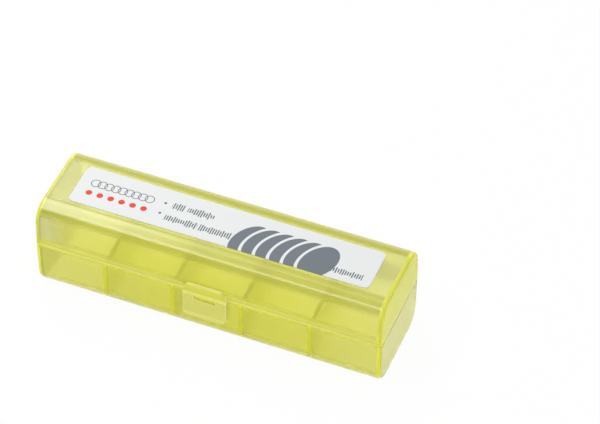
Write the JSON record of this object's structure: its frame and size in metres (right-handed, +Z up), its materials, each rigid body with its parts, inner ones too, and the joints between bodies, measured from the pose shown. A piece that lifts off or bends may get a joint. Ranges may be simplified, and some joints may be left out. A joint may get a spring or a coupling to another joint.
{
  "type": "coin storage case",
  "caption": "Long rounded box of clear tinted plastic with a divided tray, a hinged lid on thin bending straps and a snap tab, for storing coins in rolls.",
  "frame": {"origin": "middle of the flat face under the tray, which the case rests on", "axes": "+X along the case, -Y towards the snap tab, +Y towards the hinge, +Z up"},
  "size_m": [0.093, 0.0272, 0.0266],
  "materials": {
    "tray_plastic": "smooth moulded translucent yellow-green plastic",
    "lid_plastic": "smooth moulded translucent yellow-green plastic",
    "strap_plastic": "thin bent plastic, paler than the walls",
    "label_film": "smooth off-white printed film"
  },
  "bodies": {
    "base": {"base_tray": "tray_plastic"},
    "hinge_straps": {"hinge_strap_left": "strap_plastic", "hinge_strap_middle": "strap_plastic", "hinge_strap_right": "strap_plastic"},
    "lid": {"lid": "lid_plastic", "label": "label_film"}
  },
  "joints": [
    {"name": "lower_fold", "type": "hinge", "parent": "base", "child": "hinge_straps", "pos_m": [0, 0.0127, 0.01156], "axis": [-1, 0, 0], "range_deg": [0, 90]},
    {"name": "upper_fold", "type": "hinge", "parent": "hinge_straps", "child": "lid", "pos_m": [0, 0.0127, 0.01714], "axis": [-1, 0, 0], "range_deg": [0, 90]}
  ],
  "couplings": [
    {"joint": "upper_fold", "follows": "lower_fold", "ratio": 1}
  ]
}
